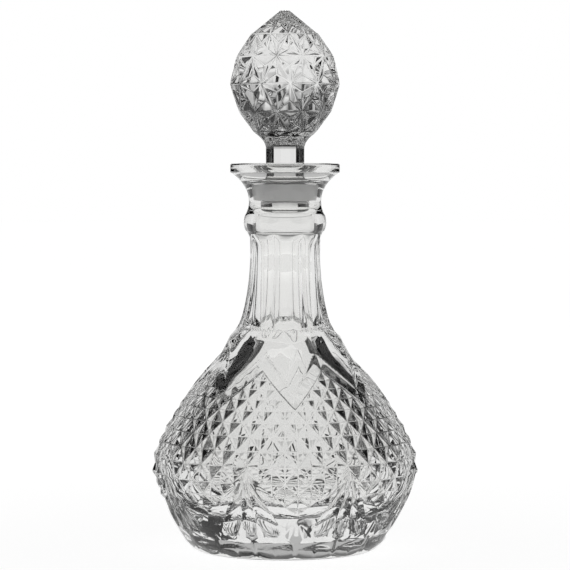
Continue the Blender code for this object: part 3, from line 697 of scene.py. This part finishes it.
def mouth_profile():
    """Outside of ring, throat and lip, over the rim and down inside to the floor's middle."""
    bulge = RING_BULGE * (RING_HEIGHT - NECK_TOP_HEIGHT)
    outer = arc(NECK_TOP_RADIUS, RING_HEIGHT, RING_RADIUS - NECK_TOP_RADIUS, bulge, -90, RING_BULGE_END, 16)
    outer[0] = (NECK_TOP_RADIUS, NECK_TOP_HEIGHT)
    outer += [(RING_STEP_RADIUS, RING_STEP_HEIGHT),
              (mix(RING_STEP_RADIUS, THROAT_RADIUS, THROAT_BEND_SHARE), THROAT_HEIGHT - THROAT_BEND_DROP)]
    edge = LIP_RADIUS - LIP_EDGE_STEP
    flare = edge - THROAT_RADIUS
    rise = LIP_EDGE_HEIGHT - THROAT_HEIGHT
    outer += [(THROAT_RADIUS + flare * share**FLARE_POWER, THROAT_HEIGHT + rise * share)
              for share in shares(FLARE_STEPS)[:-1]]
    outer += arc(edge, LIP_EDGE_HEIGHT + LIP_EDGE_STEP, LIP_EDGE_STEP, LIP_EDGE_STEP, -90, 0, 3)
    rim = RIM_HEIGHT - RIM_ROUND
    outer += arc(LIP_RADIUS - RIM_ROUND, rim, RIM_ROUND, RIM_ROUND, 0, 90, 5)
    inner = arc(LIP_RADIUS - LIP_WALL, rim, RIM_ROUND, RIM_ROUND, 90, 180, 5)
    mouth = inner[-1][0]
    drop = rim - SEAT_TOP_HEIGHT
    inner += [(mix(mouth, SEAT_RADIUS, share), SEAT_TOP_HEIGHT + drop * (1 - share) ** FUNNEL_POWER)
              for share in shares(10)[1:-1]]
    inner += [(SEAT_RADIUS, SEAT_TOP_HEIGHT), (SEAT_FOOT_RADIUS, SEAT_BOTTOM_HEIGHT),
              (mix(SEAT_FOOT_RADIUS, RING_BORE_RADIUS, SEAT_RELIEF[0]),
               mix(SEAT_BOTTOM_HEIGHT, RING_STEP_HEIGHT, SEAT_RELIEF[1])),
              (RING_BORE_RADIUS, RING_STEP_HEIGHT), (RING_BORE_RADIUS, RING_HEIGHT)]
    inner += [(mix(RING_BORE_RADIUS, NECK_BORE_RADIUS, 0.5 - 0.5 * cos(pi * share)),
               mix(RING_HEIGHT, NECK_WAIST_HEIGHT, share)) for share in shares(8)[1:]]
    corner_top = FLOOR_HEIGHT + FLOOR_CORNER
    heights = [mix(NECK_WAIST_HEIGHT, corner_top, share) for share in shares(HOLLOW_LEVELS)[1:]]
    inner += [(inner_radius(height), height) for height in heights]
    wall = inner[-1][0]
    inner += arc(wall - FLOOR_CORNER_WIDTH, corner_top, FLOOR_CORNER_WIDTH, FLOOR_CORNER, 0, -90, 10)[1:]
    inner += [(wall * share, FLOOR_HEIGHT) for share in (0.5, 0.25, 0.0)]
    return outer + inner


# ---- the pieces ----

class MakeBottle(Operator):
    """Build the pressed-glass bottle and put it in place of the solid one"""
    bl_idname = "decanter.make_bottle"
    bl_label = "Bottle"

    def execute(self, context):
        settings = context.scene.decanter_bottle
        rows = lattice_rows()
        count = COLUMNS * settings.columns
        half = count // 2
        angles = [HALF_PANEL * i / half for i in range(-half, half + 1)]
        sketch = PanelSketch()
        draw_lattice(sketch, rows, settings.diamond_depth)
        draw_fan(sketch, rows, settings.diamond_depth, settings.petal_depth)
        draw_base(sketch, angles[half:])
        draw_shoulder(sketch, rows, angles, settings.flute_depth)
        places, faces = sketch.triangles()

        pieces = []
        for number in range(PANELS):
            corners = [place(radius, angle + number * PANEL_ANGLE, height)
                       for angle, height, radius in places]
            pieces.append(new_piece(f"panel_{number}", corners, (), faces))
        steps = PANELS * count
        pieces.append(turned("mouth_and_hollow", mouth_profile(), steps))
        pieces.append(self.underside(steps))
        bottle = joined(pieces, "pressed_glass_bottle")

        def is_cut(face):
            middle = face.calc_center_median()
            radius = (middle.x**2 + middle.y**2) ** 0.5
            angle = (angle_of(middle) + HALF_PANEL) % PANEL_ANGLE - HALF_PANEL
            outside = radius > crest(middle.z) - 3 * settings.diamond_depth
            top = edge_height(angle, rows, NOTCH_ROW) + BAND_BEVEL
            return outside and edge_height(angle, rows, 0) < middle.z < top

        fire_polish(bottle, is_cut, settings.edge_round)
        soften(bottle)
        glass = clear_pressed_glass(context.scene.decanter_glass)
        finished(bottle, "bottle", "bottle", glass)
        return {'FINISHED'}

    @staticmethod
    def underside(steps):
        """Flat resting ring and a shallow hollow with a star cut in it."""
        rest = BASE_RADIUS - REST_RING_WIDTH
        profile = [(BASE_RADIUS - BASE_ROUND, 0.0), (rest + REST_RING_EDGE[0], 0.0),
                   (rest, REST_RING_EDGE[1]), (rest - STAR_DEPTH, STAR_DEPTH)]
        profile += [(rest * share, STAR_DEPTH) for share in STAR_STATIONS]
        piece = turned("underside", profile, steps)
        for vert in piece.data.vertices:
            radius = (vert.co.x**2 + vert.co.y**2) ** 0.5
            turn = (angle_of(vert.co) * STAR_RAYS / 360) % 1.0
            depth = STAR_CUT * (1 - abs(2 * turn - 1)) * min(radius / (STAR_HEART * rest), 1.0)
            if radius < STAR_EDGE * rest:
                vert.co.z += depth * min((STAR_END * rest - radius) / (STAR_FADE * rest), 1.0)
        return piece


class MakeStopper(Operator):
    """Build the solid star-cut stopper and put it in place of the solid one"""
    bl_idname = "decanter.make_stopper"
    bl_label = "Stopper"

    def execute(self, context):
        settings = context.scene.decanter_stopper
        head = self.head(settings.star_sink)
        foot = self.stem_and_plug()
        stopper = joined([head, foot], "pressed_glass_stopper")
        fire_polish(stopper, lambda face: face.calc_center_median().z > HEAD_HEIGHTS[0], settings.edge_round)
        soften(stopper)
        glass = clear_pressed_glass(context.scene.decanter_glass)
        finished(stopper, "stopper", "stopper", glass)
        return {'FINISHED'}

    @staticmethod
    def head(sink):
        """Twelve-sided rings, each half a step on from the last, with a sunken star in every cell."""
        bpy.ops.mesh.primitive_circle_add(vertices=HEAD_SIDES, radius=HEAD_RADII[0], fill_type='NOTHING',
                                          location=(0, 0, HEAD_HEIGHTS[0]), rotation=(0, 0, pi / 2))
        head = bpy.context.object
        bpy.ops.object.transform_apply(location=True, rotation=True, scale=True)
        bpy.ops.object.mode_set(mode='EDIT')
        bpy.ops.mesh.select_all(action='SELECT')
        heights = HEAD_HEIGHTS + (TIP_HEIGHT,)
        radii = HEAD_RADII + (TIP_RADIUS,)
        tip = len(heights) - 1
        for level in range(1, tip + 1):
            bpy.ops.mesh.extrude_edges_move(
                TRANSFORM_OT_translate={"value": (0, 0, heights[level] - heights[level - 1])})
            grow = radii[level] / radii[level - 1]
            bpy.ops.transform.resize(value=(grow, grow, 1), center_override=(0, 0, 0))
            if level < tip:
                bpy.ops.transform.rotate(value=HEAD_TURN, orient_axis='Z', center_override=(0, 0, 0))
        bpy.ops.mesh.edge_face_add()
        bpy.ops.mesh.select_all(action='DESELECT')
        bpy.ops.object.mode_set(mode='OBJECT')
        for level in range(tip):
            low, high = heights[level], heights[level + 1]
            for polygon in head.data.polygons:
                polygon.select = low < polygon.center.z < high
            bpy.ops.object.mode_set(mode='EDIT')
            bpy.ops.mesh.select_mode(type='FACE')
            narrow = radii[level]
            if level < tip - 1:
                bpy.ops.mesh.quads_convert_to_tris(quad_method='SHORTEST_DIAGONAL')
                narrow = min(narrow, radii[level + 1])
            edge = 2 * narrow * sin(HEAD_TURN)
            bpy.ops.mesh.poke(offset=-sink * edge)
            bpy.ops.mesh.select_all(action='DESELECT')
            bpy.ops.object.mode_set(mode='OBJECT')
        return head

    @staticmethod
    def stem_and_plug():
        """Cove and twelve-sided stem under the head, round plug and nose below them."""
        steps = HEAD_SIDES * 8
        plug_top = sleeve_radii(PLUG_TOP_HEIGHT - PLUG_SHOULDER)[1] - FIT_GAP
        hook = SLEEVE_LOW[2] + SLEEVE_LIP + FIT_GAP
        plug_foot = sleeve_radii(hook)[1] - FIT_GAP
        nose = sleeve_lip_radius() - FIT_GAP
        cove = [(mix(STEM_RADIUS, HEAD_RADII[0], share**COVE_POWER),
                 mix(STEM_TOP_HEIGHT, HEAD_HEIGHTS[0], share)) for share in COVE_STATIONS]
        stem = [(STEM_RADIUS, mix(STEM_TOP_HEIGHT, STEM_FOOT_HEIGHT, share)) for share in STEM_STATIONS]
        plug = [(mix(STEM_RADIUS, plug_top, out), mix(STEM_FOOT_HEIGHT, PLUG_TOP_HEIGHT, down))
                for out, down in PLUG_NECK]
        low = STOPPER_LOW[2]
        plug += [(mix(STEM_RADIUS, plug_top, PLUG_TOP_SHARES[0]), PLUG_TOP_HEIGHT),
                 (mix(STEM_RADIUS, plug_top, PLUG_TOP_SHARES[1]),
                  PLUG_TOP_HEIGHT - PLUG_SHOULDER_BEND * PLUG_SHOULDER),
                 (plug_top, PLUG_TOP_HEIGHT - PLUG_SHOULDER), (plug_foot, hook), (nose, hook),
                 (nose, low + NOSE_CHAMFER),
                 (nose - NOSE_BEND * NOSE_CHAMFER, low + NOSE_BEND * NOSE_CHAMFER),
                 (nose - NOSE_CHAMFER, low), (nose * 0.5, low), (0.0, low)]
        profile = cove + stem + plug
        piece = turned("stem_and_plug", profile, steps)
        for vert in piece.data.vertices:
            if vert.co.z < PLUG_TOP_HEIGHT:
                continue
            angle = angle_of(vert.co) * pi / 180
            offset = (angle + HEAD_TURN + 2 * pi / steps) % (2 * HEAD_TURN) - HEAD_TURN
            side = cos(HEAD_TURN) / cos(offset)
            rise = min((vert.co.z - PLUG_TOP_HEIGHT) / (STEM_FOOT_HEIGHT - PLUG_TOP_HEIGHT), 1.0)
            scale = mix(1.0, side, rise)
            vert.co.x *= scale
            vert.co.y *= scale
        bm = bmesh.new()
        bm.from_mesh(piece.data)
        bmesh.ops.remove_doubles(bm, verts=bm.verts, dist=0.001 * MM)
        top = max(vert.co.z for vert in bm.verts)
        ring = sorted((vert for vert in bm.verts if vert.co.z > top - 0.01 * MM),
                      key=lambda vert: angle_of(vert.co) % 360)
        corners = [bm.verts.new(place(HEAD_RADII[0], 360.0 * i / HEAD_SIDES, HEAD_HEIGHTS[0]))
                   for i in range(HEAD_SIDES)]
        ratio = len(ring) // HEAD_SIDES
        start = min(range(len(ring)), key=lambda i: abs(((angle_of(ring[i].co) + 180) % 360) - 180))
        ring = ring[start:] + ring[:start]
        # fan out from the head's twelve corners to the cove's round edge
        for i, corner in enumerate(corners):
            beyond = corners[(i + 1) % HEAD_SIDES]
            for k in range(ratio):
                near = corner if k < ratio // 2 else beyond
                at = i * ratio + k
                bm.faces.new([ring[at], ring[(at + 1) % len(ring)], near])
            bm.faces.new([corner, ring[i * ratio + ratio // 2], beyond])
        bm.to_mesh(piece.data)
        bm.free()
        return piece


def sleeve_radii(height):
    """Outer and inner radius of the sleeve, from the seat it fills."""
    share = (height - SEAT_BOTTOM_HEIGHT) / (SEAT_TOP_HEIGHT - SEAT_BOTTOM_HEIGHT)
    outer = mix(SEAT_FOOT_RADIUS, SEAT_RADIUS, share) - FIT_GAP
    return outer, outer - mix(SLEEVE_BOTTOM_WALL, SLEEVE_TOP_WALL, share)


def sleeve_lip_radius():
    """Inner radius of the sleeve's lip, which hooks under the plug."""
    return sleeve_radii(SLEEVE_LOW[2])[1] - SLEEVE_LIP_WIDTH


class MakeSleeve(Operator):
    """Build the frosted sleeve round the plug and put it in place of the solid one"""
    bl_idname = "decanter.make_sleeve"
    bl_label = "Sealing sleeve"

    def execute(self, context):
        low, high = SLEEVE_LOW[2], SLEEVE_HIGH[2]
        hook = low + SLEEVE_LIP
        lip = sleeve_lip_radius()
        foot, top = low + SLEEVE_BLUNT, high - SLEEVE_BLUNT
        profile = [(lip, low), (sleeve_radii(low)[0] - SLEEVE_BLUNT, low), (sleeve_radii(foot)[0], foot)]
        for share in shares(4)[1:-1]:
            height = mix(low, high, share)
            profile.append((sleeve_radii(height)[0], height))
        profile += [(sleeve_radii(top)[0], top), (sleeve_radii(high)[0] - SLEEVE_BLUNT, high),
                    (sleeve_radii(high)[1], high), (sleeve_radii(hook)[1], hook), (lip, hook), (lip, low)]
        sleeve = turned("sleeve", profile, SLEEVE_STEPS)
        sleeve = joined([sleeve], "frosted_sleeve")
        bpy.ops.object.shade_smooth_by_angle(angle=radians(35))
        finished(sleeve, "stopper", "stopper_sleeve",
                 frosted_soft_plastic(context.scene.decanter_glass))
        return {'FINISHED'}


# ---- materials ----

def set_values(node, settings):
    """Set a node's inputs and options by name."""
    for key, value in settings.items():
        if key in node.inputs:
            node.inputs[key].default_value = value
        else:
            setattr(node, key, value)


def add_node(tree, kind, settings, links=()):
    """A node with its settings, and links given as (input, node, output)."""
    node = tree.nodes.new(kind)
    set_values(node, settings)
    for key, source, output in links:
        tree.links.new(source.outputs[output], node.inputs[key])
    return node


def new_material(name):
    """A material, its node tree and the shader in it."""
    material = bpy.data.materials.new(name)
    material.use_nodes = True
    return material, material.node_tree, material.node_tree.nodes["Principled BSDF"]


def clear_pressed_glass(settings):
    """Soda-lime glass pressed in a mould and fire polished: clear, bright edges, faintly wavy faces."""
    name = "clear_pressed_glass"
    if name in bpy.data.materials:
        return bpy.data.materials[name]
    material, tree, shader = new_material(name)
    set_values(shader, {"Base Color": (*settings.tint, 1.0), "Transmission Weight": 1.0, "Roughness": 0.0,
                        "IOR": settings.ior})
    where = add_node(tree, "ShaderNodeTexCoord", {})
    waves = add_node(tree, "ShaderNodeTexNoise", {"Scale": 1 / WAVE_LENGTH, "Detail": 1.0, "Roughness": 0.4},
                     [("Vector", where, "Object")])
    bump = add_node(tree, "ShaderNodeBump", {"Strength": 1.0, "Distance": settings.waviness},
                    [("Height", waves, "Fac")])
    tree.links.new(bump.outputs["Normal"], shader.inputs["Normal"])
    return material


def frosted_soft_plastic(settings):
    """Low-density polyethylene with a mould-blasted face: milky, soft sheen, no reflections."""
    material, tree, shader = new_material("frosted_soft_polyethylene")
    set_values(shader, {"Base Color": (*settings.sleeve, 1.0), "Roughness": 0.55, "IOR": 1.51,
                        "Subsurface Weight": 0.3, "Subsurface Radius": (1.0, 1.0, 1.0),
                        "Subsurface Scale": FROST_DEPTH})
    where = add_node(tree, "ShaderNodeTexCoord", {})
    frost = add_node(tree, "ShaderNodeTexNoise", {"Scale": 1 / FROST_GRAIN, "Detail": 2.0},
                     [("Vector", where, "Object")])
    bump = add_node(tree, "ShaderNodeBump", {"Strength": 0.3, "Distance": FROST_HEIGHT},
                    [("Height", frost, "Fac")])
    tree.links.new(bump.outputs["Normal"], shader.inputs["Normal"])
    return material


def white_table_top(settings):
    """Matt white laminate: as white as the ground in the picture, a little darker through the glass."""
    material, tree, shader = new_material("matt_white_laminate")
    set_values(shader, {"Base Color": (*linear("#A0A0A0"), 1.0), "Roughness": 0.9,
                        "Specular IOR Level": 0.0, "Emission Color": (*settings.ground, 1.0)})
    where = add_node(tree, "ShaderNodeTexCoord", {})
    away = add_node(tree, "ShaderNodeVectorMath", {"operation": 'LENGTH'}, [(0, where, "Object")])
    # the glow that the camera sees is lower near the decanter: painted shade round its foot, together with
    # the real shadow in the lit diffuse part
    glow = add_node(tree, "ShaderNodeMapRange", {"From Min": SHADE_REACH[0], "From Max": SHADE_REACH[1],
                                                 "To Min": TABLE_GLOW}, [("Value", away, "Value")])
    ray = add_node(tree, "ShaderNodeLightPath", {})
    level = add_node(tree, "ShaderNodeMapRange", {"To Min": settings.table_light},
                     [("Value", ray, "Is Camera Ray"), ("To Max", glow, "Result")])
    tree.links.new(level.outputs["Result"], shader.inputs["Emission Strength"])
    return material


def lit_white_card(settings):
    """White card lit from below: its brightness falls with height, as CARD_FALL says."""
    material, tree, shader = new_material("lit_white_card")
    tree.nodes.remove(shader)
    where = add_node(tree, "ShaderNodeTexCoord", {})
    height = add_node(tree, "ShaderNodeSeparateXYZ", {}, [("Vector", where, "Object")])
    share = add_node(tree, "ShaderNodeMapRange", {"From Max": settings.card_height}, [("Value", height, "Z")])
    shades = add_node(tree, "ShaderNodeValToRGB", {}, [("Fac", share, "Result")])
    steps = shades.color_ramp.elements
    while len(steps) < len(CARD_FALL):
        steps.new(0.5)
    for step, (at, level) in zip(steps, CARD_FALL):
        step.position = at
        step.color = (level, level, level, 1.0)
    glow = add_node(tree, "ShaderNodeEmission", {"Strength": settings.card_light},
                    [("Color", shades, "Color")])
    tree.links.new(glow.outputs["Emission"], tree.nodes["Material Output"].inputs["Surface"])
    return material


# ---- studio ----

class MakeStudio(Operator):
    """Set up the white ground, the soft light and the camera"""
    bl_idname = "decanter.make_studio"
    bl_label = "Studio"

    def execute(self, context):
        scene = context.scene
        settings = scene.decanter_studio
        scene.view_settings.view_transform = 'Standard'
        self.room(scene, settings)
        self.table(settings)
        material = lit_white_card(settings)
        for number in range(settings.cards):
            self.card(settings, number, material)
        self.camera(scene)
        return {'FINISHED'}

    @staticmethod
    def room(scene, settings):
        """White behind the decanter, and a dark room in its reflections."""
        world = bpy.data.worlds.new("white_studio")
        scene.world = world
        world.use_nodes = True
        tree = world.node_tree
        ray = add_node(tree, "ShaderNodeLightPath", {})
        level = add_node(tree, "ShaderNodeMapRange", {"To Min": settings.room_light, "To Max": 1.0},
                         [("Value", ray, "Is Camera Ray")])
        background = tree.nodes["Background"]
        background.inputs["Color"].default_value = (*settings.ground, 1.0)
        tree.links.new(level.outputs["Result"], background.inputs["Strength"])

    @staticmethod
    def table(settings):
        """A table top that reaches past the picture on every side."""
        bpy.ops.mesh.primitive_circle_add(vertices=96, radius=TABLE_RADIUS, fill_type='NGON',
                                          location=(0, 0, -TABLE_GAP))
        table = bpy.context.object
        bpy.ops.object.transform_apply(location=True, rotation=True, scale=True)
        table.name = "white_table"
        table.data.materials.append(white_table_top(settings))

    @staticmethod
    def card(settings, number, material):
        """A curved upright card that the camera does not see, so that every side has one behind it."""
        card = new_piece(f"lit_card_{number}", [(0.0, settings.card_distance, height)
                                                for height in (0.0, settings.card_height)], [(0, 1)])
        turn = 2 * pi * number / settings.cards - radians(CAMERA_AZIMUTH) - settings.card_reach / 2
        bpy.ops.object.mode_set(mode='EDIT')
        bpy.ops.mesh.select_all(action='SELECT')
        bpy.ops.transform.rotate(value=turn, orient_axis='Z', center_override=(0, 0, 0))
        bpy.ops.mesh.spin(steps=12, angle=settings.card_reach, center=(0, 0, 0), axis=(0, 0, 1))
        bpy.ops.object.mode_set(mode='OBJECT')
        card.visible_camera = False
        card.data.materials.append(material)

    @staticmethod
    def camera(scene):
        """The camera that took the photograph."""
        data = bpy.data.cameras.new("camera")
        data.angle = FIELD_OF_VIEW
        data.clip_end = 10
        camera = bpy.data.objects.new("camera", data)
        scene.collection.objects.link(camera)
        turn = radians(CAMERA_AZIMUTH)
        camera.location = (CAMERA_DISTANCE * sin(turn), -CAMERA_DISTANCE * cos(turn), CAMERA_HEIGHT)
        camera.rotation_euler = (radians(90 - CAMERA_TILT), 0.0, turn)
        scene.camera = camera


class DecanterPanel(Panel):
    """Buttons for the decanter's pieces"""
    bl_idname = "VIEW3D_PT_decanter"
    bl_label = "Decanter"
    bl_space_type = 'VIEW_3D'
    bl_region_type = 'UI'
    bl_category = "Decanter"

    def draw(self, context):
        layout = self.layout
        for operator in OPERATORS:
            layout.operator(operator.bl_idname)
        for group in ("decanter_bottle", "decanter_stopper", "decanter_glass", "decanter_studio"):
            box = layout.box()
            settings = getattr(context.scene, group)
            for name in type(settings).__annotations__:
                box.prop(settings, name)


GROUPS = {"decanter_bottle": BottleSettings, "decanter_stopper": StopperSettings,
          "decanter_glass": GlassSettings, "decanter_studio": StudioSettings}
OPERATORS = (MakeBottle, MakeStopper, MakeSleeve, MakeStudio)


def register():
    for name, group in GROUPS.items():
        bpy.utils.register_class(group)
        setattr(bpy.types.Scene, name, PointerProperty(type=group))
    for operator in OPERATORS:
        bpy.utils.register_class(operator)
    bpy.utils.register_class(DecanterPanel)


def unregister():
    bpy.utils.unregister_class(DecanterPanel)
    for operator in reversed(OPERATORS):
        bpy.utils.unregister_class(operator)
    for name, group in GROUPS.items():
        delattr(bpy.types.Scene, name)
        bpy.utils.unregister_class(group)


def main():
    """Make every piece round the loaded frame."""
    register()
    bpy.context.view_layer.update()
    bpy.ops.decanter.make_bottle()
    bpy.ops.decanter.make_stopper()
    bpy.ops.decanter.make_sleeve()
    bpy.ops.decanter.make_studio()


if __name__ == "__main__":
    main()
